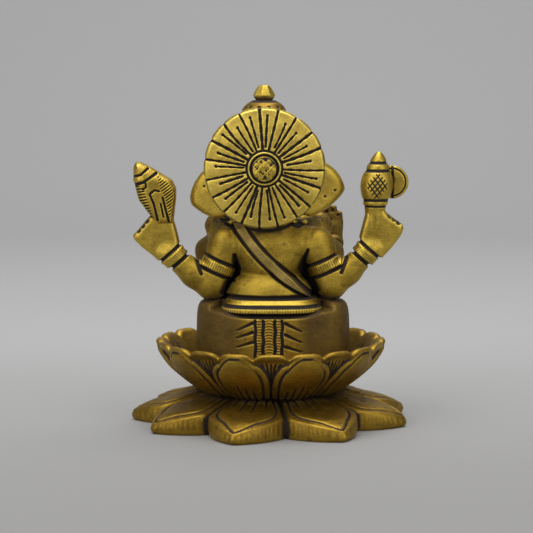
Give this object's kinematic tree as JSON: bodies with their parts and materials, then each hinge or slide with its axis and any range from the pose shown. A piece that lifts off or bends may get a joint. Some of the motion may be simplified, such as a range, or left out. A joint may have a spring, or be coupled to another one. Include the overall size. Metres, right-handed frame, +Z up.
{
  "type": "seated elephant-headed deity statuette",
  "caption": "Small cast brass figure seated on a double lotus, with a round engraved halo, a domed crown, large ears and arms that hold a conch and an axe.",
  "frame": {"origin": "middle of the flat underside of the lower lotus, on the surface that the statue stands on", "axes": "+Z up; the figure faces -Y, so the halo and the figure's back are towards +Y; +X is the figure's left side, where the conch is"},
  "size_m": [0.0821, 0.0807, 0.1],
  "materials": {
    "polished_brass": "satin, high spots rubbed bright over dark patina in every groove",
    "aged_brass": "brushed and darkened, near-black brown patina in the cuts",
    "steel_screw": "plain zinc-plated screw and washer, hidden under the base"
  },
  "bodies": {
    "root": {"armlet_left": "polished_brass", "armlet_right": "polished_brass", "axe_blade": "polished_brass", "axe_haft": "polished_brass", "base_screw": "steel_screw", "belt_clasp": "polished_brass", "bracelet_left": "polished_brass", "bracelet_right": "polished_brass", "conch_shell": "polished_brass", "crown": "polished_brass", "crown_band": "polished_brass", "crown_finial": "polished_brass", "dhoti_seat": "aged_brass", "ear_left": "polished_brass", "ear_right": "polished_brass", "foot_left": "polished_brass", "foot_right": "polished_brass", "front_bracelet_left": "polished_brass", "front_bracelet_right": "polished_brass", "front_forearm_left": "polished_brass", "front_forearm_right": "polished_brass", "front_hand_left": "polished_brass", "front_hand_right": "polished_brass", "front_upper_arm_left": "polished_brass", "front_upper_arm_right": "polished_brass", "halo_disc": "polished_brass", "halo_rivet": "polished_brass", "head": "polished_brass", "leg_left": "aged_brass", "leg_right": "aged_brass", "lotus_base": "aged_brass", "lotus_bowl": "aged_brass", "necklace": "polished_brass", "pendant": "polished_brass", "rear_forearm_left": "polished_brass", "rear_forearm_right": "polished_brass", "rear_hand_left": "polished_brass", "rear_hand_right": "polished_brass", "rear_upper_arm_left": "polished_brass", "rear_upper_arm_right": "polished_brass", "sash": "polished_brass", "screw_washer": "steel_screw", "sweet_bowl": "polished_brass", "sweets": "polished_brass", "torso": "polished_brass", "trunk": "polished_brass", "tusk_left": "polished_brass", "tusk_right": "polished_brass", "waist_belt": "polished_brass"}
  },
  "joints": []
}
